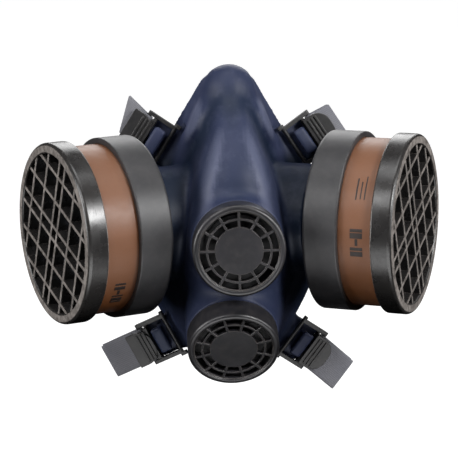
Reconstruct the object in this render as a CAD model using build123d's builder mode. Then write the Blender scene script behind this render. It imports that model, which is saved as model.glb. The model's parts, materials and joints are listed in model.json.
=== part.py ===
"""A twin-cartridge half-mask respirator, in millimetres.

The frame is the mask's own: +Z is up, the front looks along -Y, and the origin is the centre of the
opening that the wearer's face closes. "left" and "right" are as seen from in front of the mask, so left is -X.
"""

import os
from math import cos, radians, sin, tan

from build123d import *

# ---------------------------------------------------------------- driving sizes

SIDES = {"left": -1, "right": 1}

# Facepiece: a moulded rubber shell, drawn as level sections from the chin to the nose.
# Each row: height, front (y at the middle), half width of the front ridge, half width at the rim,
# flare, and the share of the depth that the rounded front corners take.
SECTIONS = [
    (-65.0, -40.0, 9.0, 20.0, 1.7, 0.34),
    (-58.5, -48.0, 14.0, 26.0, 1.8, 0.34),
    (-50.0, -53.5, 17.0, 32.0, 1.7, 0.34),
    (-36.0, -60.0, 18.0, 39.5, 1.5, 0.34),
    (-20.0, -64.5, 18.0, 42.0, 1.4, 0.34),
    (-3.0, -65.0, 17.0, 42.0, 1.5, 0.34),
    (14.0, -63.0, 15.0, 38.0, 2.0, 0.34),
    (28.0, -58.5, 13.0, 30.5, 2.5, 0.36),
    (39.0, -49.5, 12.6, 24.2, 2.1, 0.42),
    (48.0, -38.5, 12.0, 19.0, 1.7, 0.5),
    (56.0, -29.5, 9.8, 14.6, 1.5, 0.56),
    (62.0, -22.5, 7.0, 10.8, 1.5, 0.6),
    (66.8, -16.0, 3.4, 6.0, 1.5, 0.6),
]
RIM_BACK = 12.0  # y of the rim at mid height
RIM_BEND = 230.0  # the rim runs forward by height squared over this
WALL = 2.6
LIP = 3.0  # thickness of the in-turned sealing lip
CORNER_POWER = 2.3  # squareness of the front corners
OUTLINE_STEPS = (0.0, 0.03, 0.1, 0.2, 0.34, 0.55, 0.78, 1.0)  # shares of the depth where points lie
FACE_OPENING = [(0, 53), (11, 40), (25, 12), (29.5, -8), (26, -32), (15, -48), (0, -52)]  # (x, z)
OPENING_DEPTH = 6.0  # how far forward of the origin the opening is cut, clear of the shell's sides

# Cartridges: one to a side, on level axes that lean forward of sideways.
CARTRIDGE_LEAN = 24.0  # degrees forward of straight sideways
PORT_AT = (38.9, -28.7)  # x and y of the port face's centre, at height 0
NECK_RADIUS, NECK_HOLE, NECK_LIP = 24.6, 22.3, 3.0
NECK_ROOT = 18.0  # how far the neck's hollow runs back into the shell
CONNECTOR_OUT, CONNECTOR_BORE, CONNECTOR_FLANGE = 19.0, 16.8, 22.5
CONNECTOR_DEPTH, CONNECTOR_RIM = 8.0, 3.0
NUT_OUT = 21.8
INHALE_SEAT = -8.0  # where the inhalation flap's seat starts
GASKET_IN, GASKET_OUT = 16.9, 20.5
SPIGOT_RADIUS, SPIGOT_BORE, SPIGOT_TIP = 16.5, 13.5, -4.0
CARTRIDGE_BACK = 5.0  # the cartridge's back face, out from the port face
CARTRIDGE_RADIUS, CARTRIDGE_WALL = 40.0, 2.5
HOLDER_FRONT = 20.5  # the holder's open edge
CAN_RADIUS, CAN_WALL, CAN_BACK, CAN_FRONT = 37.3, 0.8, 7.7, 38.5
FILL_RADIUS = 36.3
BED, SCREEN, PAD = (9.0, 32.0), (32.2, 33.2), (33.5, 38.6)  # start and end of each layer
CAP_BACK, CAP_STEP, CAP_FRONT = 35.5, 39.0, 45.0
GRILLE_RADIUS, FIN_THICK, FIN_SPAN = 35.3, 1.5, (39.4, 44.4)
FIN_PLACES = (3.0, 15.0, 27.0)  # each fin family has a pair at each distance from the middle
LATTICE_TURN = 21.0  # degrees from level

# Exhalation valves: an upper one facing forward and a lower one facing forward and down.
# Each row: centre of the boss's face, tip below level, turn of the spokes.
VALVES = {"upper": ((0, -67.5, -3.0), 0.0, 0.0), "lower": ((-2.5, -58.3, -44.8), 26.0, 15.0)}
BOSS_RADIUS, BOSS_ROOT = 20.3, 14.0
VALVE_HOLE, SEAT_TUBE, SEAT_BORE = 15.1, 15.0, 12.5
SEAT_FRONT_RIM, SEAT_BACK_RIM, SEAT_DEPTH = 18.3, 17.5, 6.0
COVER_RADIUS, COVER_WALL, COVER_BACK = 20.0, 1.4, 0.3
COVER_PLATE, COVER_FRONT = 8.0, 10.5
COVER_FACE = 9.7  # the windowed face, set back inside the rim
RIM_INSIDE = 17.4
WINDOWS = ((14.2, 17.0), (10.4, 13.3))  # outer and inner rows of air windows
SPOKES, SPOKE_WIDTH = 12, 1.0
FLAP_RADIUS, STEM_RADIUS, HUB_RADIUS, HUB_HOLE = 14.5, 1.0, 3.0, 1.3

# Harness: a rubber lug, a buckle and a strap end at each corner.
# Each row: the lug's middle, the strap's angle above level, where its tail ends, that end's slant,
# how far the tail drifts sideways, and the end of the buckle's inner bar that has the hook.
HARNESS = {
    "upper_left": ((-33.2, -4.1, 32.8), 147.0, 18.5, -17.0, -2.6, -1),
    "upper_right": ((34.2, -4.2, 31.2), 33.0, 19.0, 0.0, -1.5, 1),
    "lower_left": ((-32.0, -10.0, -58.3), 207.0, 28.5, 0.0, 0.0, 1),
    "lower_right": ((31.3, -9.8, -62.4), -37.0, 28.5, 0.0, -2.4, -1),
}
STRAP_SWEEP = 15.0  # degrees that each strap leans back towards the head
STRAP_WIDTH, STRAP_THICK, STRAP_LOOP = 16.6, 1.0, 1.2  # the loop's inside radius
BAR_RADIUS, INNER_BAR, MIDDLE_BAR, OUTER_BAR = 1.0, -4.8, 5.0, 8.6  # and the bars' places
RAIL_INSIDE, RAIL_WIDTH, INNER_BAR_OVERHANG = 17.4, 1.8, 1.2
HOOK_LENGTH, HOOK_WIDTH = 2.2, 1.6
TAB_ROOT = 2.7  # height of the tab's underside over the middle bar
TAB_LENGTH, TAB_WIDTH, TAB_CORNER, TAB_THICK, TAB_LIFT = 10.8, 16.2, 6.6, 1.4, 5.0
TAB_RIBS = (1.2, 3.0, 4.8)  # places of the finger ribs, out from the middle bar
LUG_WIDTH, LUG_ROOT, LUG_STEM, LUG_TIP = 15.0, 13.0, 1.5, 3.1
LUG_BACK, LUG_PLATE = -4.4, -1.9  # the lug's plate lies behind the buckle, between these depths
LUG_STEM_WIDTH = 10.0
LUG_HEAD_LENGTH, LUG_HEAD_WIDTH, LUG_HEAD_SPAN = 6.0, 13.0, (2.2, 4.4)


# ---------------------------------------------------------------- frames


def port_plane(side):
    """Origin at the port face's centre, with z out along the cartridge's axis."""
    lean = radians(CARTRIDGE_LEAN)
    x, y = PORT_AT
    return Plane((side * x, y, 0), x_dir=(0, 0, 1), z_dir=(side * cos(lean), -sin(lean), 0))


def valve_plane(place, tip, turn):
    """Origin on the valve boss's face, with z out of it."""
    dip, spin = radians(tip), radians(turn)
    sideways = (cos(spin), -sin(dip) * sin(spin), cos(dip) * sin(spin))
    return Plane(place, x_dir=sideways, z_dir=(0, -cos(dip), -sin(dip)))


def lug_plane(place, angle):
    """Origin in the lug's middle, with x out along the strap and z to the front."""
    lean, turn = radians(STRAP_SWEEP), radians(angle)
    along = (cos(turn) * cos(lean), sin(lean), sin(turn) * cos(lean))
    front = (cos(turn) * sin(lean), -cos(lean), sin(turn) * sin(lean))
    return Plane(place, x_dir=along, z_dir=front)


def lifted(plane, place, degrees):
    """The plane moved to place and turned about its own y direction, so that its x rises to the front."""
    lift = radians(degrees)
    x_dir = plane.x_dir * cos(lift) + plane.z_dir * sin(lift)
    z_dir = plane.z_dir * cos(lift) - plane.x_dir * sin(lift)
    return Plane(place, x_dir=x_dir, z_dir=z_dir)


# ---------------------------------------------------------------- shapes used more than once


def write(part, name):
    """Labels a finished piece and writes its STEP file."""
    part.label = name
    export_step(part, f"parts/{name}.step")


def ring(plane, inner, outer, start, end):
    """Adds a round ring, or a disc where inner is 0, to the piece being built."""
    with BuildSketch(plane.offset(start)) as outline:
        Circle(outer)
        if inner:
            Circle(inner, mode=Mode.SUBTRACT)
    extrude(outline.sketch, amount=end - start)


def bore(plane, radius, start, end):
    """Cuts a round hole from start to end along the plane's axis."""
    with BuildSketch(plane.offset(start)) as outline:
        Circle(radius)
    extrude(outline.sketch, amount=end - start, mode=Mode.SUBTRACT)


def spider(plane, reach, spokes, start, end):
    """Adds a hub on spokes, with a hole for a flap's stem."""
    with BuildSketch(plane.offset(start)) as outline:
        Circle(HUB_RADIUS)
        with PolarLocations(0, spokes):
            Rectangle(reach, 1.8, align=(Align.MIN, Align.CENTER))
        Circle(HUB_HOLE, mode=Mode.SUBTRACT)
    extrude(outline.sketch, amount=end - start)


def block(plane, x_span, width, z_span):
    """Adds a box centred across the plane, from x_span[0] to x_span[1] and z_span[0] to z_span[1]."""
    with BuildSketch(plane.offset(z_span[0])) as outline:
        with Locations(((x_span[0] + x_span[1]) / 2, 0)):
            Rectangle(x_span[1] - x_span[0], width)
    extrude(outline.sketch, amount=z_span[1] - z_span[0])


def round_edge(piece, plane, radius, height, amount):
    """Rounds the circular edge that has this radius and stands at this height on the plane's axis."""
    circles = piece.edges().filter_by(GeomType.CIRCLE)
    wanted = [edge for edge in circles if abs(edge.radius - radius) < 0.01]
    fillet([edge for edge in wanted if abs(plane.to_local_coords(edge.arc_center).Z - height) < 0.01], amount)


def cross_bar(plane, x, length):
    """Adds a round bar across the plane at x."""
    with BuildSketch(Plane(plane.from_local_coords((x, -length / 2, 0)), z_dir=plane.y_dir)) as outline:
        Circle(BAR_RADIUS)
    extrude(outline.sketch, amount=length)


# ---------------------------------------------------------------- facepiece


def half_width(share, ridge, rim, flare, corner_share):
    """Half width of a level section at a share of its depth: rounded corners, then a flare to the rim."""
    inside = 1 - min(share / corner_share, 1.0)
    corner = (1 - inside**CORNER_POWER) ** (1 / CORNER_POWER)
    return ridge * corner + (rim - ridge) * share**flare


def section(height, front, back, *shape):
    """One level section of the shell, as a sketch at its height."""
    depths = [(share, front + share * (back - front)) for share in OUTLINE_STEPS]
    right = [(half_width(share, *shape), y) for share, y in depths]
    left = [(-x, y) for x, y in reversed(right[1:])]
    with BuildSketch(Plane.XY.offset(height)) as made:
        with BuildLine():
            Spline(*left, *right)
            Line(right[-1], left[0])
        make_face()
    return made.sketch


def shell_body(inset, end_inset, lip):
    """The body that the sections enclose, drawn in by inset all round and by lip at the rim."""
    low, high = SECTIONS[0][0] + end_inset, SECTIONS[-1][0] - 2 * end_inset
    with BuildPart() as body:
        for height, front, ridge, rim, flare, corner_share in SECTIONS:
            level = min(max(height, low), high)
            if level == height or height in (SECTIONS[0][0], SECTIONS[-1][0]):
                back = RIM_BACK - level**2 / RIM_BEND - lip
                add(section(level, front + inset, back, ridge - inset * 0.8, rim - inset, flare, corner_share))
        loft()
    return body.part


port_planes = {name: port_plane(side) for name, side in SIDES.items()}
valve_planes = {name: valve_plane(*row) for name, row in VALVES.items()}
lug_planes = {name: lug_plane(row[0], row[1]) for name, row in HARNESS.items()}
outer_body = shell_body(0, 0, 0)
inner_body = shell_body(WALL, 3.0, LIP)

with BuildPart() as cavity:
    add(inner_body)
    for plane in port_planes.values():
        ring(plane, 0, NECK_HOLE, -NECK_ROOT, -NECK_LIP)
    for plane in valve_planes.values():
        ring(plane, 0, BOSS_RADIUS - 1.6, -BOSS_ROOT, -3.0)

with BuildPart() as facepiece:
    add(outer_body)
    for plane in port_planes.values():
        ring(plane, 0, NECK_RADIUS, -NECK_ROOT - WALL, 0)
    for plane in valve_planes.values():
        ring(plane, 0, BOSS_RADIUS, -BOSS_ROOT - WALL, 0)
    for plane in lug_planes.values():
        block(plane, (-LUG_ROOT, LUG_TIP), LUG_WIDTH, (LUG_BACK, LUG_PLATE))
        block(plane, (-LUG_STEM, LUG_STEM), LUG_STEM_WIDTH, (LUG_PLATE, LUG_HEAD_SPAN[0]))
        block(plane, (-LUG_HEAD_LENGTH / 2, LUG_HEAD_LENGTH / 2), LUG_HEAD_WIDTH, LUG_HEAD_SPAN)
    add(cavity.part, mode=Mode.SUBTRACT)
    for plane in valve_planes.values():
        bore(plane, VALVE_HOLE, -BOSS_ROOT, 1)
    for plane in port_planes.values():
        bore(plane, CONNECTOR_OUT + 0.1, -NECK_LIP - 1, 1)
    with BuildSketch(Plane.XZ.offset(OPENING_DEPTH)):
        with BuildLine():
            Spline(*FACE_OPENING, *[(-x, z) for x, z in reversed(FACE_OPENING[1:-1])], periodic=True)
        make_face()
    extrude(amount=-OPENING_DEPTH - 2 * RIM_BACK, mode=Mode.SUBTRACT)
write(facepiece.part, "facepiece")

# ---------------------------------------------------------------- exhalation valves

for name, plane in valve_planes.items():
    with BuildPart() as valve_seat:
        ring(plane, SEAT_BORE, SEAT_TUBE, -SEAT_DEPTH, 0)
        ring(plane, SEAT_BORE, SEAT_FRONT_RIM, 0, 1.6)
        ring(plane, SEAT_BORE, SEAT_BORE + 1.0, 1.6, 2.0)
        ring(plane, SEAT_BORE, SEAT_BACK_RIM, -5.0, -3.05)
        spider(plane, SEAT_BORE + 0.5, 6, 0, 1.8)
    write(valve_seat.part, f"{name}_valve_seat")

    with BuildPart() as valve_flap:
        ring(plane, 0, FLAP_RADIUS, 2.1, 2.9)
        ring(plane, 0, STEM_RADIUS, -3.5, 2.1)
        ring(plane, 0, STEM_RADIUS + 0.9, -3.5, -2.2)
    write(valve_flap.part, f"{name}_valve_flap")

    with BuildPart() as valve_cover:
        ring(plane, COVER_RADIUS - COVER_WALL, COVER_RADIUS, COVER_BACK, COVER_PLATE)
        ring(plane, 0, COVER_RADIUS, COVER_PLATE, COVER_FRONT)
        bore(plane, RIM_INSIDE, COVER_FACE, COVER_FRONT)
        round_edge(valve_cover, plane, COVER_RADIUS, COVER_FRONT, 1.6)
        round_edge(valve_cover, plane, RIM_INSIDE, COVER_FRONT, 0.6)
        with BuildSketch(plane.offset(COVER_PLATE - 1)) as windows:
            for inner, outer in WINDOWS:
                Circle(outer)
                Circle(inner, mode=Mode.SUBTRACT)
            with PolarLocations(0, SPOKES):
                Rectangle(COVER_RADIUS, SPOKE_WIDTH, align=(Align.MIN, Align.CENTER), mode=Mode.SUBTRACT)
        extrude(windows.sketch, amount=COVER_FRONT, mode=Mode.SUBTRACT)
    write(valve_cover.part, f"{name}_valve_cover")

# ---------------------------------------------------------------- inlets and cartridges

for name, plane in port_planes.items():
    with BuildPart() as inlet_connector:
        ring(plane, CONNECTOR_BORE, CONNECTOR_OUT, -CONNECTOR_DEPTH, 0)
        ring(plane, CONNECTOR_BORE, CONNECTOR_FLANGE, 0, CONNECTOR_RIM)
        ring(plane, 12.0, CONNECTOR_BORE + 0.2, INHALE_SEAT, INHALE_SEAT + 1.5)
        spider(plane, 12.5, 4, INHALE_SEAT, INHALE_SEAT + 1.5)
    write(inlet_connector.part, f"{name}_inlet_connector")

    with BuildPart() as connector_nut:
        ring(plane, CONNECTOR_OUT + 0.05, NUT_OUT, -6.0, -3.05)
    write(connector_nut.part, f"{name}_connector_nut")

    with BuildPart() as inhale_flap:
        ring(plane, 0, FLAP_RADIUS, INHALE_SEAT - 1.0, INHALE_SEAT - 0.2)
        ring(plane, 0, STEM_RADIUS, INHALE_SEAT - 0.2, -3.9)
        ring(plane, 0, STEM_RADIUS + 0.9, -4.9, -3.9)
    write(inhale_flap.part, f"{name}_inhale_flap")

    with BuildPart() as inlet_gasket:
        ring(plane, GASKET_IN, GASKET_OUT, CONNECTOR_RIM + 0.05, CARTRIDGE_BACK - 0.05)
    write(inlet_gasket.part, f"{name}_inlet_gasket")

    with BuildPart() as holder:
        ring(plane, SPIGOT_BORE, SPIGOT_RADIUS, SPIGOT_TIP, CARTRIDGE_BACK + 2.5)
        ring(plane, SPIGOT_BORE, CARTRIDGE_RADIUS, CARTRIDGE_BACK, CARTRIDGE_BACK + 2.5)
        ring(plane, CARTRIDGE_RADIUS - CARTRIDGE_WALL, CARTRIDGE_RADIUS, CARTRIDGE_BACK, HOLDER_FRONT)
        round_edge(holder, plane, CARTRIDGE_RADIUS, CARTRIDGE_BACK, 1.5)
        round_edge(holder, plane, CARTRIDGE_RADIUS, HOLDER_FRONT, 0.6)
    write(holder.part, f"{name}_holder")

    with BuildPart() as canister_can:
        ring(plane, CAN_RADIUS - CAN_WALL, CAN_RADIUS, CAN_BACK, CAN_FRONT)
        ring(plane, SPIGOT_BORE, CAN_RADIUS, CAN_BACK, CAN_BACK + 1.0)
        spider(plane, SPIGOT_BORE + 0.5, 8, CAN_BACK, CAN_BACK + 1.0)
    write(canister_can.part, f"{name}_canister_can")

    with BuildPart() as sorbent_bed:
        ring(plane, 0, FILL_RADIUS, *BED)
    write(sorbent_bed.part, f"{name}_sorbent_bed")

    with BuildPart() as canister_screen:
        ring(plane, 0, FILL_RADIUS, *SCREEN)
        with BuildSketch(plane.offset(SCREEN[0] - 1)) as holes:
            with GridLocations(7.0, 7.0, 9, 9):
                Circle(1.6)
            Circle(FILL_RADIUS - 3, mode=Mode.INTERSECT)
        extrude(holes.sketch, amount=3, mode=Mode.SUBTRACT)
    write(canister_screen.part, f"{name}_canister_screen")

    with BuildPart() as dust_pad:
        ring(plane, 0, FILL_RADIUS - 0.8, *PAD)
    write(dust_pad.part, f"{name}_dust_pad")

    with BuildPart() as grille_cap:
        ring(plane, CARTRIDGE_RADIUS - CARTRIDGE_WALL, CARTRIDGE_RADIUS, CAP_BACK, CAP_STEP)
        ring(plane, GRILLE_RADIUS, CARTRIDGE_RADIUS, CAP_STEP, CAP_FRONT)
        round_edge(grille_cap, plane, CARTRIDGE_RADIUS, CAP_BACK, 0.6)
        round_edge(grille_cap, plane, CARTRIDGE_RADIUS, CAP_FRONT, 1.8)
        round_edge(grille_cap, plane, GRILLE_RADIUS, CAP_FRONT, 0.8)
        with BuildSketch(plane.offset(FIN_SPAN[0])) as lattice:
            for place in FIN_PLACES:
                with PolarLocations(place, 4, start_angle=SIDES[name] * LATTICE_TURN):
                    Rectangle(FIN_THICK, 2 * CARTRIDGE_RADIUS)
            Circle(GRILLE_RADIUS + 0.6, mode=Mode.INTERSECT)
        extrude(lattice.sketch, amount=FIN_SPAN[1] - FIN_SPAN[0])
    write(grille_cap.part, f"{name}_grille_cap")

# ---------------------------------------------------------------- buckles and strap ends

for name, plane in lug_planes.items():
    tail_end, slant, drift, hook_end = HARNESS[name][2:]
    rail_middle = (RAIL_INSIDE + RAIL_WIDTH) / 2
    frame_width = RAIL_INSIDE + 2 * RAIL_WIDTH
    hook_middle = (frame_width - HOOK_WIDTH) / 2 + INNER_BAR_OVERHANG
    tab_plane = lifted(plane, plane.from_local_coords((MIDDLE_BAR, 0, TAB_ROOT)), TAB_LIFT)
    with BuildPart() as buckle:
        cross_bar(plane, INNER_BAR, frame_width + 2 * INNER_BAR_OVERHANG)
        cross_bar(plane, MIDDLE_BAR, frame_width)
        cross_bar(plane, OUTER_BAR, frame_width)
        for across in (-rail_middle, rail_middle):
            rail = plane.shift_origin(plane.from_local_coords((0, across, 0)))
            block(rail, (INNER_BAR, OUTER_BAR), RAIL_WIDTH, (-BAR_RADIUS, BAR_RADIUS))
        hook = plane.shift_origin(plane.from_local_coords((0, hook_end * hook_middle, 0)))
        block(hook, (INNER_BAR - HOOK_LENGTH, INNER_BAR), HOOK_WIDTH, (-BAR_RADIUS, BAR_RADIUS))
        block(plane, (MIDDLE_BAR - 0.9, MIDDLE_BAR + 0.9), TAB_WIDTH, (0, 3.2))
        with BuildSketch(tab_plane) as tab:
            with Locations((-0.9, 0)):
                Rectangle(TAB_LENGTH, TAB_WIDTH, align=(Align.MIN, Align.CENTER))
            fillet(tab.vertices().sort_by(Axis(plane.origin, plane.x_dir))[-2:], TAB_CORNER)
        extrude(tab.sketch, amount=TAB_THICK)
        for rib in TAB_RIBS:
            block(tab_plane, (rib - 0.45, rib + 0.45), TAB_WIDTH - 2.4, (TAB_THICK - 0.1, TAB_THICK + 0.5))
    write(buckle.part, f"{name}_buckle")

    loop_plane = Plane(plane.from_local_coords((OUTER_BAR, 0, 0)), x_dir=plane.x_dir, z_dir=-plane.y_dir)
    outside = STRAP_LOOP + STRAP_THICK
    half = STRAP_WIDTH / 2
    shift = half * tan(radians(slant))
    reach = tail_end - OUTER_BAR + STRAP_WIDTH
    spread = STRAP_WIDTH + 2 * abs(drift)
    with BuildPart() as strap:
        with BuildSketch(loop_plane.offset(-spread / 2)) as loop:
            Circle(outside)
            with Locations((reach / 2, 0)):
                Rectangle(reach, 2 * outside)
                Rectangle(reach, 2 * STRAP_LOOP, mode=Mode.SUBTRACT)
            Circle(STRAP_LOOP, mode=Mode.SUBTRACT)
        extrude(loop.sketch, amount=spread)
        with BuildSketch(plane.offset(-outside - 1)) as cut:
            tail = [(tail_end - shift, drift - half), (tail_end + shift, drift + half)]
            with BuildLine():
                Polyline((0, -half), (OUTER_BAR, -half), *tail, (OUTER_BAR, half), (0, half), close=True)
            make_face()
        extrude(cut.sketch, amount=2 * outside + 2, mode=Mode.INTERSECT)
    write(strap.part, f"{name}_strap")
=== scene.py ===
import json
from math import cos, radians, sin, tan

import bmesh
import bpy
import numpy as np
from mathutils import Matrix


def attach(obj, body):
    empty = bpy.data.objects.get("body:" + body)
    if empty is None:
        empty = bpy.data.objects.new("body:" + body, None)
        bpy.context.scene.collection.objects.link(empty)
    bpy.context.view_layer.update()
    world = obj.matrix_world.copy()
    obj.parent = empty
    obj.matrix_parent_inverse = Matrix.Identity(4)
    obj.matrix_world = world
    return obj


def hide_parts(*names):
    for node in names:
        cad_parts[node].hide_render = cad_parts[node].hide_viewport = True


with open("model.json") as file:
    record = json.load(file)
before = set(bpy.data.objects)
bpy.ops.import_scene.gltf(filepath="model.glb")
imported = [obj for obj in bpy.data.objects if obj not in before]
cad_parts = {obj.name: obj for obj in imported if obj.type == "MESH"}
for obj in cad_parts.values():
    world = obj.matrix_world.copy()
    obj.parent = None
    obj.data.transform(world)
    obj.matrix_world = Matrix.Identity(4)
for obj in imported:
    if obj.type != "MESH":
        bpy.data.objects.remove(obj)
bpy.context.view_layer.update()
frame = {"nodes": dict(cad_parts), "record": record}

import openvdb
from mathutils import Matrix, Vector

nodes = frame["nodes"]
record = frame["record"]
joints = {joint["name"]: joint for joint in record["behaviour"]["joints"]}
MM = 0.001
LEAN = radians(24)  # how far each port turns from the side towards the front
scene = bpy.context.scene
scene.view_settings.view_transform = "Standard"
scene.view_settings.look = "None"

# ------------------------------------------------------------------ frames read from the joints


def joint_frame(name, slide_pos=None):
    """A joint's place in millimetres and its axis as a unit vector. A slide has no place, so it is given one."""
    joint = joints[name]
    place = np.array(joint.get("pos_m") or slide_pos) / MM
    axis = np.array(joint["axis"], float)
    return place, axis / np.linalg.norm(axis)


PORT_TO_HINGE = 5.0  # each cartridge's turning point is this far out from its port's face
ports = {}
for side in ("left", "right"):
    place, axis = joint_frame(f"{side}_cartridge_turn")
    ports[side] = (place - PORT_TO_HINGE * axis, axis)

valves = {}
VALVE_PLACES = {"upper": (0.0, -0.0675, -0.003), "lower": (-0.0025, -0.0583, -0.0448)}
for level, spot in VALVE_PLACES.items():
    valves[level] = joint_frame(f"{level}_cover_pull", spot)

CORNERS = ("upper_left", "upper_right", "lower_left", "lower_right")
lugs = {}
for corner in CORNERS:
    place, across = joint_frame(f"{corner}_buckle_rock")
    bar, _ = joint_frame(f"{corner}_strap_swing")
    along = (bar - place) / np.linalg.norm(bar - place)
    lugs[corner] = (place, along, across, np.cross(along, across))

# ------------------------------------------------------------------ materials


class Nodes:
    """A small helper for building one material's node tree."""

    def __init__(self, name):
        self.material = bpy.data.materials.new(name)
        self.material.use_nodes = True
        self.tree = self.material.node_tree
        self.shader = self.tree.nodes["Principled BSDF"]

    def add(self, kind, inputs=None, **settings):
        node = self.tree.nodes.new(kind)
        for key, value in settings.items():
            setattr(node, key, value)
        for key, value in (inputs or {}).items():
            self.put(node.inputs[key], value)
        return node

    def put(self, socket, value):
        if isinstance(value, bpy.types.NodeSocket):
            self.tree.links.new(value, socket)
        else:
            socket.default_value = value

    def set(self, **inputs):
        for key, value in inputs.items():
            self.put(self.shader.inputs[key.replace("_", " ")], value)

    def place(self, scale=(1, 1, 1)):
        coords = self.add("ShaderNodeTexCoord")
        return self.add("ShaderNodeMapping", {"Vector": coords.outputs["Object"], "Scale": scale}).outputs[0]

    def noise(self, scale, detail=3.0, vector=None, roughness=0.55, distortion=0.0):
        inputs = {"Scale": scale, "Detail": detail, "Roughness": roughness, "Distortion": distortion}
        inputs["Vector"] = vector or self.place()
        return self.add("ShaderNodeTexNoise", inputs).outputs[0]

    def spread(self, value, low, high, to_low=0.0, to_high=1.0):
        inputs = {"Value": value, "From Min": low, "From Max": high, "To Min": to_low, "To Max": to_high}
        return self.add("ShaderNodeMapRange", inputs).outputs[0]

    def maths(self, operation, first, second=0.5):
        node = self.add("ShaderNodeMath", operation=operation)
        self.put(node.inputs[0], first)
        self.put(node.inputs[1], second)
        return node.outputs[0]

    def mix(self, factor, first, second):
        node = self.add("ShaderNodeMix", data_type="RGBA")
        self.put(node.inputs[0], factor)
        self.put(node.inputs[6], first)
        self.put(node.inputs[7], second)
        return node.outputs[2]

    def bump(self, height, strength, distance, normal=None):
        inputs = {"Height": height, "Strength": strength, "Distance": distance}
        if normal:
            inputs["Normal"] = normal
        return self.add("ShaderNodeBump", inputs).outputs[0]

    def rounded(self, radius):
        """A normal that rounds sharp edges over the radius, and a mask that is 1 on those edges."""
        soft = self.add("ShaderNodeBevel", {"Radius": radius}, samples=4).outputs[0]
        flat = self.add("ShaderNodeNewGeometry").outputs["Normal"]
        match = self.add("ShaderNodeVectorMath", operation="DOT_PRODUCT")
        self.put(match.inputs[0], soft)
        self.put(match.inputs[1], flat)
        blend = self.spread(match.outputs["Value"], 0.9995, 0.98)
        return self.mix(blend, flat, soft), self.spread(match.outputs["Value"], 1.0, 0.86)

    def mould_relief(self, depth, normal):
        """Fine mould grain over slow waves, as a bumped normal."""
        relief = self.maths("ADD", self.noise(3000, 2), self.maths("MULTIPLY", self.noise(160, 3), 0.9))
        return self.bump(relief, 0.25, depth, normal)


def rgb(red, green, blue):
    """Linear colour with alpha from 0 to 255 display values."""
    channels = [c / 255 for c in (red, green, blue)]
    return (*[c / 12.92 if c < 0.04045 else ((c + 0.055) / 1.055) ** 2.4 for c in channels], 1.0)


def blue_rubber():
    """Satin moulded rubber: cloudy navy with a faint dusty whitish haze at random, painted a darker blue in its
    hollows and on the flanks behind the cartridges as painted shade, and painted paler where it stands proud as a
    painted highlight.
    """
    n = Nodes("blue_rubber")
    cloud = n.noise(34, 4)
    recess_and_shade = n.add("ShaderNodeAttribute", attribute_name="recess_and_shade").outputs["Fac"]
    tint = n.mix(n.spread(cloud, 0.35, 0.7), rgb(38, 46, 70), rgb(50, 56, 82))
    tint = n.mix(n.spread(n.noise(14, 3, n.place((1, 1, 0.6))), 0.45, 0.75, 0.0, 0.5), tint, rgb(34, 45, 70))
    # painted shade: a darker blue in the hollows and valleys and on the flanks behind the cartridges
    tint = n.mix(n.spread(recess_and_shade, 0.1, 0.8), tint, rgb(17, 30, 50))
    # a faint dusty haze at random, and a painted highlight: paler where the skin stands proud
    bloom_and_highlight = n.spread(n.noise(110, 6, roughness=0.7), 0.5, 0.78, 0.0, 0.2)
    bloom_and_highlight = n.maths("ADD", bloom_and_highlight, n.spread(recess_and_shade, -0.05, -0.6, 0.0, 0.5))
    colour = n.mix(bloom_and_highlight, tint, rgb(102, 107, 130))
    grain = n.maths("ADD", n.noise(2400, 2), n.maths("MULTIPLY", n.noise(240, 3), 1.4))
    n.set(Base_Color=colour, Roughness=n.spread(cloud, 0.3, 0.7, 0.46, 0.58), Specular_IOR_Level=0.3)
    n.set(Sheen_Weight=0.08, Sheen_Roughness=0.4, Sheen_Tint=rgb(150, 150, 190))
    n.set(Normal=n.bump(grain, 0.2, 0.00012))
    return n.material


SOFT_EDGE, SHELL_EDGE = 0.0005, 0.0004  # radii that edges look rounded by
MOULD_GRAIN, POLISHED_GRAIN = 0.00004, 0.00001  # depths of the mould grain
SCUFFED = rgb(120, 116, 112)


def moulded_plastic(name, dark, light, rough, wear=SCUFFED, wear_share=0.35, grain=MOULD_GRAIN, **extra):
    """Moulded plastic with a fine mould grain, soft edges, worn patches on them and faint scuffs."""
    n = Nodes(name)
    soft, on_edge = n.rounded(SOFT_EDGE)
    cloud = n.noise(55, 4)
    colour = n.mix(n.spread(cloud, 0.35, 0.7), dark, light)
    worn = n.maths("MULTIPLY", on_edge, n.spread(n.noise(260, 2), 0.35, 0.6, 0.5, 1.0))
    colour = n.mix(n.maths("MULTIPLY", worn, wear_share), colour, wear)
    scuff = n.spread(n.noise(300, 4), 0.45, 0.75, 0.0, 0.07)
    colour = n.mix(scuff, colour, wear)
    n.set(Base_Color=colour, Roughness=n.spread(n.noise(60, 2), 0.3, 0.7, rough - 0.01, rough + 0.04))
    n.set(**extra)
    n.set(Normal=n.mould_relief(grain, soft))
    return n.material


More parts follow.
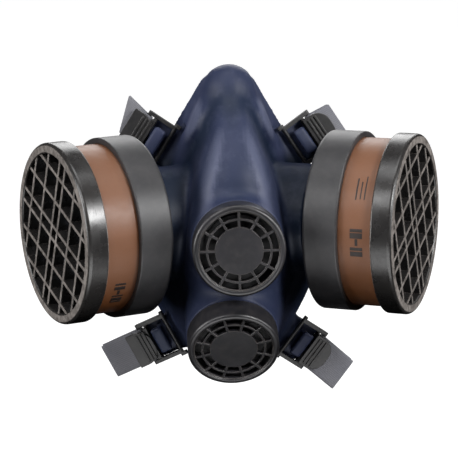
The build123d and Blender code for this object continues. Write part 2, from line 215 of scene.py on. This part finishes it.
def grille_plastic():
    """Glossy black cap with paler worn edges; the faces that look outward along the cartridge, on the rim and the
    lattice, are painted a patchy paler brown-grey, partly wear from rubbing and partly painted light.
    """
    n = Nodes("grille_plastic")
    soft, on_edge = n.rounded(SOFT_EDGE)
    x, y = n.add("ShaderNodeSeparateXYZ", {"Vector": n.add("ShaderNodeTexCoord").outputs["Normal"]}).outputs[:2]
    sideways = n.maths("MULTIPLY", n.maths("ABSOLUTE", x), cos(LEAN))
    outward = n.maths("SUBTRACT", sideways, n.maths("MULTIPLY", y, sin(LEAN)))
    # painted light, partly wear from rubbing: faces that look outward along the cartridge are painted a patchy paler
    # brown-grey
    front = n.maths("MULTIPLY", n.spread(outward, 0.9, 0.97), n.spread(n.noise(90, 5), 0.25, 0.6, 0.5, 1.0))
    cloud = n.spread(n.noise(55, 4), 0.35, 0.7)
    colour = n.mix(cloud, rgb(38, 37, 37), rgb(52, 50, 49))
    worn = n.maths("MULTIPLY", on_edge, n.spread(n.noise(600, 4), 0.35, 0.6, 0.3, 0.8))
    colour = n.mix(worn, colour, rgb(132, 124, 118))
    lit_and_rubbed = n.mix(n.spread(n.noise(400, 5), 0.35, 0.65), rgb(112, 106, 102), rgb(160, 153, 148))
    colour = n.mix(front, colour, lit_and_rubbed)
    n.set(Base_Color=colour, Roughness=n.spread(n.noise(180, 4), 0.3, 0.7, 0.22, 0.34), Specular_IOR_Level=0.6)
    n.set(Normal=n.mould_relief(MOULD_GRAIN, soft))
    return n.material


def painted_shell():
    """Brown lacquered canister shell with a fine grain and warmer and greyer areas."""
    n = Nodes("brown_shell")
    soft, on_edge = n.rounded(SHELL_EDGE)
    cloud = n.spread(n.noise(26, 4), 0.35, 0.68)
    colour = n.mix(cloud, rgb(116, 70, 38), rgb(124, 86, 64))
    fleck = n.spread(n.noise(900, 5, roughness=0.7), 0.56, 0.72, 0.0, 0.28)
    colour = n.mix(fleck, colour, rgb(88, 60, 46))
    # painted shade: the shell is darker along its edges, where it meets the holder and the cap
    colour = n.mix(n.maths("MULTIPLY", on_edge, 0.5), colour, rgb(60, 40, 30))
    n.set(Base_Color=colour, Roughness=n.spread(n.noise(300, 4), 0.3, 0.7, 0.44, 0.54), Specular_IOR_Level=0.45)
    n.set(Coat_Weight=0.1, Coat_Roughness=0.3)
    n.set(Normal=n.bump(n.noise(1600, 3), 0.2, 0.00005, soft))
    return n.material


CORD_WAVE, WEFT_WAVE = 3600.0, 9000.0  # the weave's two waves, in radians to the metre
WEFT_STEPS, HALF_TURN = 572.96, 3.1416  # the weft's phase climbs half a wave, this many times to the metre


def woven_webbing():
    """Grey elastic webbing: lengthwise cords crossed by a tight weft, read from the strap's own UV map."""
    n = Nodes("webbing")
    across, along = n.add("ShaderNodeSeparateXYZ", {"Vector": n.add("ShaderNodeUVMap").outputs[0]}).outputs[:2]
    cords = n.maths("ABSOLUTE", n.maths("SINE", n.maths("MULTIPLY", across, CORD_WAVE)))
    shift = n.maths("MULTIPLY", n.maths("FRACT", n.maths("MULTIPLY", across, WEFT_STEPS)), HALF_TURN)
    weft = n.maths("SINE", n.maths("ADD", n.maths("MULTIPLY", along, WEFT_WAVE), shift))
    weave = n.maths("ADD", cords, n.maths("MULTIPLY", weft, 0.35))
    fuzz = n.noise(2600, 4, roughness=0.7)
    shade = n.maths("ADD", n.maths("MULTIPLY", weave, 0.4), n.maths("MULTIPLY", fuzz, 0.6))
    colour = n.mix(n.spread(shade, 0.25, 0.8), rgb(104, 104, 109), rgb(128, 128, 134))
    colour = n.mix(n.spread(n.noise(60, 4), 0.4, 0.75, 0.0, 0.5), colour, rgb(100, 102, 112))
    n.set(Base_Color=colour, Roughness=0.74, Specular_IOR_Level=0.35)
    n.set(Sheen_Weight=0.25, Sheen_Roughness=0.5, Sheen_Tint=rgb(190, 190, 200))
    n.set(Normal=n.bump(n.maths("ADD", weave, n.maths("MULTIPLY", fuzz, 0.4)), 0.3, 0.0001))
    return n.material


BONDS_PER_METRE = 210.0


def bonded_felt():
    """Dark nonwoven felt with point bonds in a staggered grid, read from the pad's own UV map; the bonds are painted
    near-white as painted glints.
    """
    n = Nodes("felt")
    grid = n.add("ShaderNodeVectorMath", {"Vector": n.add("ShaderNodeUVMap").outputs[0]}, operation="SCALE")
    grid.inputs["Scale"].default_value = BONDS_PER_METRE
    cell = n.add("ShaderNodeTexVoronoi", {"Vector": grid.outputs[0], "Scale": 1.0, "Randomness": 0.16})
    dots = n.spread(cell.outputs["Distance"], 0.2, 0.34, 1.0, 0.0)
    fibres = n.noise(1500, 6, n.place((1, 0.4, 1.6)), roughness=0.75, distortion=1.2)
    ground = n.mix(n.spread(fibres, 0.35, 0.7), rgb(16, 17, 20), rgb(52, 55, 62))
    # painted highlight: the point bonds are painted a patchy near-white, standing in for glints
    glint_bond = n.mix(n.spread(n.noise(500, 3), 0.35, 0.65), rgb(170, 180, 198), rgb(236, 242, 250))
    patchy = n.spread(n.noise(75, 3), 0.42, 0.62, 0.15, 1.0)
    n.set(Base_Color=n.mix(n.maths("MULTIPLY", dots, patchy), ground, glint_bond), Roughness=0.8)
    n.set(Sheen_Weight=0.2, Sheen_Roughness=0.5, Specular_IOR_Level=0.3)
    n.set(Normal=n.bump(n.maths("SUBTRACT", fibres, dots), 0.6, 0.0005))
    return n.material


def packed_granules():
    """Crushed carbon: angular dark grains with the odd glint."""
    n = Nodes("carbon")
    grains = n.add("ShaderNodeTexVoronoi", {"Vector": n.place(), "Scale": 900.0})
    n.set(Base_Color=n.mix(grains.outputs["Distance"], rgb(12, 12, 13), rgb(44, 44, 46)))
    n.set(Roughness=n.spread(n.noise(800, 3), 0.3, 0.7, 0.45, 0.9))
    n.set(Normal=n.bump(grains.outputs["Distance"], 0.8, 0.0006))
    return n.material


cover_look = {"wear": rgb(126, 118, 112), "wear_share": 0.55, "grain": POLISHED_GRAIN, "Specular_IOR_Level": 0.6}
materials = {
    "blue_rubber": blue_rubber(),
    "black_plastic": moulded_plastic("black_plastic", rgb(48, 48, 50), rgb(62, 61, 63), 0.44, wear_share=0.3),
    "grille_plastic": grille_plastic(),
    "cover_plastic": moulded_plastic("cover_plastic", rgb(30, 30, 33), rgb(48, 47, 51), 0.33, **cover_look),
    "grey_plastic": moulded_plastic("grey_plastic", rgb(42, 42, 44), rgb(58, 58, 60), 0.5),
    "brown_shell": painted_shell(),
    "silicone": moulded_plastic("silicone", rgb(22, 22, 24), rgb(34, 34, 37), 0.4, wear_share=0.1),
    "gasket_rubber": moulded_plastic("gasket_rubber", rgb(16, 16, 17), rgb(26, 26, 27), 0.62, wear_share=0.1),
    "buckle_plastic": moulded_plastic("buckle_plastic", rgb(30, 30, 31), rgb(44, 43, 44), 0.42, wear_share=0.3),
    "webbing": woven_webbing(),
    "felt": bonded_felt(),
    "carbon": packed_granules(),
    "screen_plastic": moulded_plastic("screen_plastic", rgb(116, 120, 128), rgb(140, 144, 150), 0.5),
}


def dress(obj, slot):
    obj.data.materials.clear()
    obj.data.materials.append(materials[slot])


for part in record["subparts"]:
    dress(nodes[part["node"]], part["material_slot"])


# ------------------------------------------------------------------ facepiece

# Each row: height, front, half widths of the ridge and the rim, flare, share of the depth in the corners.
SECTIONS = np.array([
    (-65.0, -40.0, 9.0, 20.0, 1.7, 0.34),
    (-58.5, -48.0, 14.0, 26.0, 1.8, 0.34),
    (-50.0, -53.5, 17.5, 32.0, 1.7, 0.34),
    (-36.0, -60.0, 19.0, 39.5, 1.5, 0.33),
    (-20.0, -64.5, 20.5, 42.0, 1.5, 0.3),
    (-3.0, -65.0, 20.5, 42.0, 1.7, 0.28),
    (14.0, -63.0, 19.0, 38.0, 2.3, 0.28),
    (28.0, -58.5, 15.5, 30.5, 2.6, 0.32),
    (39.0, -49.5, 12.6, 24.2, 1.7, 0.46),
    (48.0, -38.5, 12.0, 19.0, 1.7, 0.5),
    (56.0, -29.5, 9.8, 14.6, 1.5, 0.56),
    (62.0, -22.5, 7.0, 10.8, 1.5, 0.6),
    (66.8, -16.0, 2.9, 5.4, 1.5, 0.6),
])
RIM_BACK, RIM_BEND = 12.0, 230.0  # the back edge lies at RIM_BACK - z**2 / RIM_BEND
WALL, LIP = 2.6, 3.0
CORNER_POWER = 2.3  # 2 gives a round corner to each level of the body, more a squarer one
DEPTH_MIDDLE = 0.42  # the closed ends shrink towards this share of the depth, measured from the back
# The body's rounded ends start at the first two heights and close at the last two.
BODY_LOW, BODY_HIGH, END_LOW, END_HIGH = -60.0, 63.0, -66.0, 68.3
# The dome on the nose, and the height where the body below it is cut off.
NOSE_TOP, NOSE_RADIUS, NOSE_CUT = (0.0, -14.5, 58.3), 10.2, 64
NECK_RADIUS, NECK_DEPTH, NECK_BORE, PORT_HOLE = 24.2, 21, 22.3, 19.1
VALVE_NECK_RADIUS, VALVE_NECK_DEPTH, VALVE_NECK_BORE, VALVE_HOLE = 20.3, 14, 18.7, 15.1
# Lug and hook room, each: span along the strap, width, span from back to front, rounding.
LUG_PLATE = ((-13, 5.8), 18.8, (-4.4, -2.3), 0.7)
LUG_STEM = ((-1.5, 1.5), 10.0, (-3.0, 3.0), 0.4)
LUG_HEAD = ((-3.0, 3.0), 13.0, (2.2, 4.4), 1.0)
HOOK_ROOM = ((-8.6, -3.2), 27.4, (-2.2, 2.4), 0.4)
# The height and the half width of the opening for the face, from the top down.
FACE_OPENING = [(53, 0), (40, 11), (12, 25), (-8, 29.5), (-32, 26), (-48, 15), (-52, 0)]
VOXEL = 0.8
BAND, CLIP = 14.0, 4.0  # how far from the skin distances are worked out, and kept


def spline(knots, values, at):
    """A natural cubic spline through the knots, worked out at the points in at."""
    step = np.diff(knots)
    count = len(knots)
    system = np.eye(count)
    right = np.zeros((count, values.shape[1]))
    slope = np.diff(values, axis=0) / step[:, None]
    for i in range(1, count - 1):
        system[i, i - 1 : i + 2] = step[i - 1], 2 * (step[i - 1] + step[i]), step[i]
        right[i] = 6 * (slope[i] - slope[i - 1])
    bend = np.linalg.solve(system, right)
    i = np.clip(np.searchsorted(knots, at) - 1, 0, count - 2)
    left, far = (at - knots[i])[:, None], (knots[i + 1] - at)[:, None]
    h = step[i][:, None]
    curve = (bend[i] * far**3 + bend[i + 1] * left**3) / (6 * h)
    return curve + (values[i] / h - bend[i] * h / 6) * far + (values[i + 1] / h - bend[i + 1] * h / 6) * left


def shell_mesh():
    """Points and quads of the closed outer body, level by level, with rounded ends."""
    low, high = BODY_LOW, BODY_HIGH
    heights = np.concatenate([
        low + (END_LOW - low) * np.sin(np.linspace(np.pi / 2, 0, 9)[:-1]),
        np.linspace(low, high, 100),
        high + (END_HIGH - high) * np.sin(np.linspace(0, np.pi / 2, 12)[1:]),
    ])
    rows = spline(SECTIONS[:, 0], SECTIONS[:, 1:], np.clip(heights, low, high))
    below = np.maximum(0, (low - heights) / (low - END_LOW))
    ends = np.where(heights > high, (heights - high) / (END_HIGH - high), below)
    shrink = np.sqrt(np.maximum(0.0004, 1 - ends**2))
    share = np.linspace(0, 1, 56) ** 1.8
    rings = []
    for z, (front, ridge, rim, flare, corner_share), small in zip(heights, rows, shrink):
        inside = 1 - np.minimum(share / corner_share, 1)
        corner = (1 - inside**CORNER_POWER) ** (1 / CORNER_POWER)
        back = RIM_BACK - z**2 / RIM_BEND
        x = (ridge * corner + (rim - ridge) * share**flare) * small
        y = front + share * (back - front)
        middle = back - DEPTH_MIDDLE * (back - front)
        y = middle + (y - middle) * small
        both_x, both_y = np.concatenate([x, -x[:0:-1]]), np.concatenate([y, y[:0:-1]])
        rings.append(np.stack([both_x, both_y, np.full(len(both_x), z)], 1))
    around = len(rings[0])
    points = np.concatenate(rings + [[rings[0].mean(0)], [rings[-1].mean(0)]])
    i, j = np.meshgrid(np.arange(len(rings) - 1), np.arange(around), indexing="ij")
    k = (j + 1) % around
    quads = np.stack([i * around + j, i * around + k, (i + 1) * around + k, (i + 1) * around + j], -1).reshape(-1, 4)
    j = np.arange(around)
    k = (j + 1) % around
    last = (len(rings) - 1) * around
    foot, head = len(points) - 2, len(points) - 1
    caps = np.concatenate([
        np.stack([k, j, np.full(around, foot)], 1),
        np.stack([last + j, last + k, np.full(around, head)], 1),
    ])
    return points, quads, caps


def smooth_min(a, b, k):
    """The smaller of two distances, blended over a width of k."""
    blend = np.maximum(k - np.abs(a - b), 0) / k
    return np.minimum(a, b) - blend * blend * k / 4


def smooth_max(a, b, k):
    """The larger of two distances, blended over a width of k."""
    return -smooth_min(-a, -b, k)


def facepiece_mesh():
    """The rubber skin's points, quads and triangles, and each point's painted shade amount: high in the hollows and
    on the flanks behind the cartridges, below zero where the skin stands proud, for a painted highlight.
    """
    points, quads, caps = shell_mesh()
    transform = openvdb.createLinearTransform(voxelSize=VOXEL)
    level = openvdb.FloatGrid.createLevelSetFromPolygons(
        points.astype(np.float32),
        triangles=caps.astype(np.uint32),
        quads=quads.astype(np.uint32),
        transform=transform,
        halfWidth=BAND / VOXEL,
    )
    low = np.floor(np.array([-56, -76, -74]) / VOXEL).astype(int)
    high = np.ceil(np.array([56, 20, 74]) / VOXEL).astype(int)
    body = np.empty(tuple(high - low + 1), np.float32)
    level.copyToArray(body, ijk=tuple(int(v) for v in low))
    axes = [np.arange(low[i], high[i] + 1, dtype=np.float32) * VOXEL for i in range(3)]
    x, y, z = np.meshgrid(*axes, indexing="ij", sparse=True)

    def cylinder(centre, axis, radius, start, end):
        dx, dy, dz = x - centre[0], y - centre[1], z - centre[2]
        s = dx * axis[0] + dy * axis[1] + dz * axis[2]
        r = np.sqrt(np.maximum(dx * dx + dy * dy + dz * dz - s * s, 0))
        return np.maximum(r - radius, np.maximum(s - end, start - s))

    def block(lug, x_span, width, z_span, rounding):
        place, along, across, front = lug
        middle = place + along * (x_span[0] + x_span[1]) / 2 + front * (z_span[0] + z_span[1]) / 2
        size = np.array([x_span[1] - x_span[0], width, z_span[1] - z_span[0]]) / 2 - rounding
        gaps = []
        for half, axis in zip(size, (along, across, front)):
            away = (x - middle[0]) * axis[0] + (y - middle[1]) * axis[1] + (z - middle[2]) * axis[2]
            gaps.append(np.abs(away) - half)
        outside = np.sqrt(sum(np.maximum(gap, 0) ** 2 for gap in gaps))
        return outside + np.minimum(np.maximum(np.maximum(gaps[0], gaps[1]), gaps[2]), 0) - rounding

    # the top of the nose is a dome
    dome = np.sqrt(x * x + (y - NOSE_TOP[1]) ** 2 + (z - NOSE_TOP[2]) ** 2) - NOSE_RADIUS
    body = smooth_min(smooth_max(body, z - NOSE_CUT, 4.0), dome, 5.0)

    # soft modelling of the outside: a hollow high on the nose and a fainter one above the valve, a valley down
    # each side of the front panel with a full cheek beyond it, and two upright ridges on the panel
    def line(heights, widths):
        return np.interp(axes[2], heights, widths).astype(np.float32)[None, None, :]

    hollow = 1.4 * np.exp(-((x / 8.5) ** 2) - ((z - 53) / 7.5) ** 2)
    hollow = hollow + 0.6 * np.exp(-((x / 7.0) ** 2) - ((z - 17) / 10) ** 2)
    valley_x = line([-10, 5, 17, 28, 34, 41, 54], [25.0, 24.0, 22.6, 18.6, 15.2, 12.2, 7.5])
    valley_span = np.exp(-(((z - 33) / 20) ** 4))
    valleys = 1.9 * valley_span * np.exp(-(((np.abs(x) - valley_x) / 3.0) ** 2))
    cheeks = 1.6 * np.exp(-(((z - 42) / 11) ** 4)) * np.exp(-(((np.abs(x) - valley_x - 6.5) / 3.6) ** 2))
    ridge_x = line([0, 20, 34, 44], [15.0, 12.2, 8.8, 6.0])
    ridges = 1.1 * np.exp(-(((z - 26) / 19) ** 4)) * np.exp(-(((np.abs(x) - ridge_x) / 3.0) ** 2))
    front_only = np.clip((-8 - y) / 10, 0, 1)
    recess_and_shade = (hollow + valleys) * front_only
    proud = (ridges + cheeks) * front_only
    skin = body + recess_and_shade - proud

    outside = skin
    inside = body + recess_and_shade + WALL
    for centre, axis in ports.values():
        outside = smooth_min(outside, cylinder(centre, axis, NECK_RADIUS, -NECK_DEPTH, 0), 3.5)
        inside = smooth_min(inside, cylinder(centre, axis, NECK_BORE, -18, -3), 3.0)
    for centre, axis in valves.values():
        outside = smooth_min(outside, cylinder(centre, axis, VALVE_NECK_RADIUS, -VALVE_NECK_DEPTH, 0), 5.0)
        inside = smooth_min(inside, cylinder(centre, axis, VALVE_NECK_BORE, -VALVE_NECK_DEPTH, -3), 2.0)
    for lug in lugs.values():
        outside = smooth_min(outside, block(lug, *LUG_PLATE), 3.0)
        outside = smooth_min(outside, block(lug, *LUG_STEM), 0.8)
        outside = smooth_min(outside, block(lug, *LUG_HEAD), 0.6)
    for corner in ("upper_left", "upper_right"):  # room for the hooked end of the buckle's inner bar
        outside = smooth_max(outside, -block(lugs[corner], *HOOK_ROOM), 0.6)
    rim = RIM_BACK - z * z / RIM_BEND
    inside = smooth_max(inside, y - (rim - LIP), 1.5)
    solid = smooth_max(outside, -inside, 0.8)

    opening = np.array(FACE_OPENING[::-1], float)
    half = spline(np.linspace(0, 1, len(opening)), opening, np.linspace(0, 1, 200))
    edge = np.interp(axes[2], half[:, 0], half[:, 1], left=-20, right=-20).astype(np.float32)
    lean = np.sqrt(1 + np.gradient(edge, axes[2]) ** 2)
    egg = np.maximum((np.abs(x) - edge[None, None, :]) / np.minimum(lean, 3.0)[None, None, :], -6 - y)
    solid = smooth_max(solid, -egg, 2.0)
    for centre, axis in valves.values():
        solid = smooth_max(solid, -cylinder(centre, axis, VALVE_HOLE, -VALVE_NECK_DEPTH, 3), 0.5)
    for centre, axis in ports.values():
        solid = smooth_max(solid, -cylinder(centre, axis, PORT_HOLE, -6, 3), 0.5)

    grid = openvdb.FloatGrid(CLIP)
    grid.transform = transform
    grid.copyFromArray(np.clip(solid, -CLIP, CLIP).astype(np.float32), ijk=tuple(int(v) for v in low))
    found, triangles, faces = grid.convertToPolygons(isovalue=0.0, adaptivity=0.0)
    # painted shade: the flanks behind the cartridges join the hollows in the shade mask, so that they are painted
    # dark
    shadowed_flanks = np.clip((np.abs(x) - 21) / 6, 0, 1) * np.clip((27 - z) / 5, 0, 1) * np.clip((z + 50) / 12, 0, 1)
    # the painted shade mask: positive in the hollows and on those flanks, below zero where the skin stands proud for
    # a painted highlight
    depth = 0.45 * (recess_and_shade - 1.4 * proud) + 0.9 * shadowed_flanks
    cells = np.clip(np.round(np.asarray(found) / VOXEL).astype(int) - low, 0, np.array(depth.shape) - 1)
    return found * MM, np.asarray(faces), np.asarray(triangles), depth[tuple(cells.T)]


def new_object(name, points, faces):
    """A smooth-shaded object in the scene."""
    mesh = bpy.data.meshes.new(name)
    mesh.from_pydata(points, [], faces)
    mesh.update()
    mesh.polygons.foreach_set("use_smooth", [True] * len(mesh.polygons))
    obj = bpy.data.objects.new(name, mesh)
    scene.collection.objects.link(obj)
    return obj


def apply_modifiers(obj):
    depsgraph = bpy.context.evaluated_depsgraph_get()
    mesh = bpy.data.meshes.new_from_object(obj.evaluated_get(depsgraph))
    obj.modifiers.clear()
    obj.data = mesh


points, faces, triangles, shade_amounts = facepiece_mesh()
facepiece = new_object("rubber_facepiece", points.tolist(), faces.tolist() + triangles.tolist())
# the skin carries its painted shade and highlight mask for the rubber's material
facepiece.data.attributes.new("recess_and_shade", "FLOAT", "POINT").data.foreach_set("value", shade_amounts.astype(np.float32))
relax = facepiece.modifiers.new("relax", "SMOOTH")
relax.factor, relax.iterations = 0.5, 5
apply_modifiers(facepiece)
dress(facepiece, "blue_rubber")
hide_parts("facepiece")
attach(facepiece, "mask")

# ------------------------------------------------------------------ straps


def tape(name, path, upward, sideways, half_widths, drifts, thickness):
    """A flat tape along path, with rounded edges and a UV map in metres (across, along)."""
    run = np.concatenate([[0], np.cumsum(np.linalg.norm(np.diff(path, axis=0), axis=1))])
    share = np.sin(np.linspace(-np.pi / 2, np.pi / 2, 23))
    height = (1 - np.abs(share) ** 10) ** 0.5
    offsets = np.concatenate([share, share[-2:0:-1]])
    heights = np.concatenate([height, -height[-2:0:-1]]) * thickness / 2
    rings = []
    for place, up, half, drift in zip(path, upward, half_widths, drifts):
        rings.append(place + np.outer(offsets * half + drift, sideways) + np.outer(heights, up))
    around, count = len(offsets), len(path)
    i, j = np.meshgrid(np.arange(count - 1), np.arange(around), indexing="ij")
    k = (j + 1) % around
    quads = np.stack([i * around + j, (i + 1) * around + j, (i + 1) * around + k, i * around + k], -1).reshape(-1, 4)
    ends = [list(range(around)), list(range((count - 1) * around, count * around))[::-1]]
    obj = new_object(name, (np.concatenate(rings) * MM).tolist(), quads.tolist() + ends)
    layer = obj.data.uv_layers.new(name="UVMap")
    width = np.tile(offsets, count) * np.repeat(half_widths, around) * MM
    length = np.repeat(run, around) * MM
    loops = np.empty(len(obj.data.loops), np.int32)
    obj.data.loops.foreach_get("vertex_index", loops)
    layer.data.foreach_set("uv", np.stack([width[loops], length[loops]], 1).astype(np.float32).ravel())
    return obj


# Each row: where the tail ends, that end's slant in degrees, and how far the tail drifts sideways.
TAILS = {
    "upper_left": (18.5, -17.0, -2.6),
    "upper_right": (19.0, 0.0, -1.5),
    "lower_left": (28.5, 0.0, 0.0),
    "lower_right": (28.5, 0.0, -2.4),
}
STRAP_WIDTH, STRAP_THICK, OUTER_BAR, LOOP_MIDDLE = 16.6, 1.0, 8.6, 1.7
CLOSING = 0.45  # how much the strap's two layers close on each other towards the end
RIPPLE, RIPPLE_WAVE, RIPPLE_SHIFT = 0.16, 0.45, 1.3  # a slow wave along the tail, different at each corner

for corner, (tail_end, slant, drift_end) in TAILS.items():
    place, along, across, front = lugs[corner]
    straight = np.linspace(tail_end, OUTER_BAR, 46)
    bend = np.linspace(0, np.pi, 15)[1:-1]
    x = np.concatenate([straight, OUTER_BAR - LOOP_MIDDLE * np.sin(bend), straight[::-1]])
    reach = (straight - OUTER_BAR) / (tail_end - OUTER_BAR)
    ripple = RIPPLE * np.sin(straight * RIPPLE_WAVE + RIPPLE_SHIFT * CORNERS.index(corner)) * reach
    upper = LOOP_MIDDLE - CLOSING * reach + ripple
    lower = ripple - LOOP_MIDDLE + CLOSING * reach
    z = np.concatenate([upper, LOOP_MIDDLE * np.cos(bend), lower[::-1]])
    path = place + np.outer(x, along) + np.outer(z, front)
    step = np.gradient(path, axis=0)
    upward = np.cross(step, across)
    upward /= np.linalg.norm(upward, axis=1)[:, None]
    drifts = drift_end * np.clip((x - OUTER_BAR) / (tail_end - OUTER_BAR), 0, 1)
    strap = tape(f"{corner}_webbing", path, upward, across, np.full(len(x), STRAP_WIDTH / 2), drifts, STRAP_THICK)
    lean = tan(radians(slant))
    reached = np.array([vertex.co for vertex in strap.data.vertices]) / MM - place
    beyond, sideways = reached @ along, reached @ across
    stretch = np.clip((beyond - OUTER_BAR) / (tail_end - OUTER_BAR), 0, 1)
    moved = reached + place + np.outer(stretch * lean * (sideways - drift_end * stretch), along)
    strap.data.vertices.foreach_set("co", (moved * MM).astype(np.float32).ravel())
    strap.data.update()
    dress(strap, "webbing")
    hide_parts(f"{corner}_strap")
    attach(strap, f"{corner}_strap")

# ------------------------------------------------------------------ dust pads and print on the canisters


def port_frame(side):
    """A port's centre, its axis, and the level and upright directions across it."""
    centre, axis = ports[side]
    level = np.cross((0, 0, 1), axis)
    return centre, axis, level / np.linalg.norm(level), np.array((0.0, 0.0, 1.0))


PAD_RADIUS, PAD_BACK, PAD_FRONT = 35.4, 33.6, 38.4
QUILT_DEPTH, QUILT_WAVE = 0.35, 0.52  # the fins' mark on the felt, in millimetres and radians to the millimetre


def dust_pad(side):
    """A disc of felt with soft edges, quilted a little where the grille's fins press on it."""
    centre, axis, level, up = port_frame(side)
    steps, around = 40, 120
    radii = np.concatenate([np.linspace(0.4, 1, steps)[:-1] * PAD_RADIUS, PAD_RADIUS * np.ones(1)])
    angles = np.linspace(0, 2 * np.pi, around, endpoint=False)
    points, uvs, faces = [], [], []
    for on_front in (True, False):
        for r in radii if on_front else radii[::-1]:
            rounding = (1 - np.clip((PAD_RADIUS - r) / 2.2, 0, 1)) ** 2
            for a in angles:
                u, v = r * cos(a), r * sin(a)
                if on_front:
                    swell = QUILT_DEPTH * np.sin(u * QUILT_WAVE) * np.sin(v * QUILT_WAVE)
                    depth = PAD_FRONT - 0.5 - 1.1 * rounding + swell
                else:
                    depth = PAD_BACK + 0.8 * rounding
                points.append(centre + axis * depth + level * u + up * v)
                uvs.append((u * MM, v * MM))
    rows = 2 * len(radii)
    for i in range(rows - 1):
        for j in range(around):
            k = (j + 1) % around
            faces.append((i * around + j, (i + 1) * around + j, (i + 1) * around + k, i * around + k))
    faces.append(tuple(range(around)))
    faces.append(tuple((rows - 1) * around + j for j in range(around))[::-1])
    pad = new_object(f"{side}_felt_pad", (np.array(points) * MM).tolist(), faces)
    if np.dot(np.array(pad.data.polygons[0].normal), axis) < 0:
        pad.data.flip_normals()
    layer = pad.data.uv_layers.new(name="UVMap")
    for loop in pad.data.loops:
        layer.data[loop.index].uv = uvs[loop.vertex_index]
    dress(pad, "felt")
    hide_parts(f"{side}_dust_pad")
    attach(pad, f"{side}_cartridge")


CAN_RADIUS = 37.3
INK_BOTTOM, INK_TOP = 0.01, 0.06
ink = moulded_plastic("print_ink", rgb(40, 34, 32), rgb(58, 48, 44), 0.5, wear_share=0.0)


def print_bar(bm, side, angle, length, start, end):
    """One raised bar of ink on a canister: angle is of its middle round the shell, length is girthwise."""
    centre, axis, level, up = port_frame(side)
    inner, outer = CAN_RADIUS + INK_BOTTOM, CAN_RADIUS + INK_TOP
    rings = []
    for a in np.linspace(angle - length / CAN_RADIUS / 2, angle + length / CAN_RADIUS / 2, 7):
        outward = level * cos(a) + up * sin(a)
        corners = ((inner, start), (outer, start), (outer, end), (inner, end))
        rings.append([bm.verts.new((centre + outward * radius + axis * s) * MM) for radius, s in corners])
    for low, high in zip(rings, rings[1:]):
        for i in range(4):
            bm.faces.new((low[i], low[(i + 1) % 4], high[(i + 1) % 4], high[i]))
    bm.faces.new(rings[0])
    bm.faces.new(rings[-1])


# Generic marks, two groups of bars and a rule to each canister: middle angle, girthwise length, start, end.
MARKS = {
    "left": [(-46, 1.2, 25.0, 30.0), (-43, 2.0, 25.0, 30.0), (-39.5, 0.9, 25.0, 30.0), (-36, 2.6, 27.0, 28.2),
             (-32, 1.9, 25.0, 30.0), (-28.5, 1.0, 25.0, 30.0)],
    "right": [(6, 1.4, 26.0, 31.5), (2.5, 2.4, 26.0, 31.5), (-2, 3.0, 28.2, 29.4), (-6.5, 1.4, 26.0, 31.5),
              (-10, 2.2, 26.0, 31.5), (34, 10.0, 27.2, 27.8), (33, 8.0, 29.2, 29.7), (35, 11.0, 31.0, 31.5)],
}

for side, bars in MARKS.items():
    dust_pad(side)
    faces_front = port_frame(side)[2][1] < 0  # whether the level direction points forwards on this side
    bm = bmesh.new()
    for degrees, length, start, end in bars:
        angle = radians(degrees)
        print_bar(bm, side, angle if faces_front else np.pi - angle, length, start, end)
    bmesh.ops.recalc_face_normals(bm, faces=bm.faces)
    mesh = bpy.data.meshes.new(f"{side}_print")
    bm.to_mesh(mesh)
    bm.free()
    marks = bpy.data.objects.new(f"{side}_print", mesh)
    scene.collection.objects.link(marks)
    mesh.materials.append(ink)
    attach(marks, f"{side}_cartridge")

# ------------------------------------------------------------------ camera, lights and floor

CAMERA_AZIMUTH, CAMERA_ELEVATION, CAMERA_ROLL = -3.1, 12.4, -0.9
CAMERA_DISTANCE, CAMERA_LENS = 0.9, 159.0
AIM = Vector((-0.002, -0.035, -0.0025))
azimuth, elevation = radians(CAMERA_AZIMUTH), radians(CAMERA_ELEVATION)
away = Vector((sin(azimuth) * cos(elevation), -cos(azimuth) * cos(elevation), sin(elevation)))
camera = bpy.data.objects.new("camera", bpy.data.cameras.new("camera"))
scene.collection.objects.link(camera)
camera.data.lens = CAMERA_LENS
camera.data.clip_end = 20
turn = (-away).to_track_quat("-Z", "Y").to_matrix().to_4x4()
roll = Matrix.Rotation(radians(CAMERA_ROLL), 4, "Z")
camera.matrix_world = Matrix.Translation(AIM + away * CAMERA_DISTANCE) @ turn @ roll
scene.camera = camera


LIT_POINT = Vector((0, -0.03, 0))


def area_light(name, place, size, power):
    """A white rectangular light that faces the mask."""
    light = bpy.data.lights.new(name, "AREA")
    light.shape, light.size, light.size_y = "RECTANGLE", size[0], size[1]
    light.energy = power
    obj = bpy.data.objects.new(name, light)
    obj.location = place
    obj.rotation_euler = (LIT_POINT - Vector(place)).to_track_quat("-Z", "Y").to_euler()
    scene.collection.objects.link(obj)


area_light("key_right", (0.8, -0.9, 0.66), (0.35, 0.35), 13)
area_light("key_left", (-0.7, -0.9, 0.95), (0.7, 0.4), 6)
area_light("left_side", (-1.3, -0.45, 0.3), (0.6, 0.8), 14)
area_light("right_side", (1.3, -0.45, 0.3), (0.6, 0.8), 9)
area_light("overhead", (0.0, -0.15, 1.3), (1.0, 0.5), 6)
area_light("back", (0.2, 1.3, 0.7), (1.2, 0.7), 10)
area_light("table", (0.0, -0.9, -0.7), (1.6, 0.7), 12)

# A white studio: the world and the floor are seen by the camera, and the area lights do all the lighting.
world = bpy.data.worlds.new("studio")
scene.world = world
world.use_nodes = True
world.node_tree.nodes["Background"].inputs["Color"].default_value = (1, 1, 1, 1)
world.node_tree.nodes["Background"].inputs["Strength"].default_value = 1.0
world.cycles_visibility.diffuse = False
world.cycles_visibility.glossy = False

REACH, FLOOR_HEIGHT = 6, -0.3
floor_corners = [(a * REACH, b * REACH, FLOOR_HEIGHT) for a, b in ((-1, -1), (1, -1), (1, 1), (-1, 1))]
floor = new_object("floor", floor_corners, [(0, 1, 2, 3)])
paper = Nodes("floor_paper")
paper.set(Base_Color=rgb(120, 120, 120), Roughness=0.9, Emission_Color=rgb(255, 255, 255), Emission_Strength=1.0)
floor.data.materials.append(paper.material)
floor.visible_diffuse = floor.visible_glossy = False
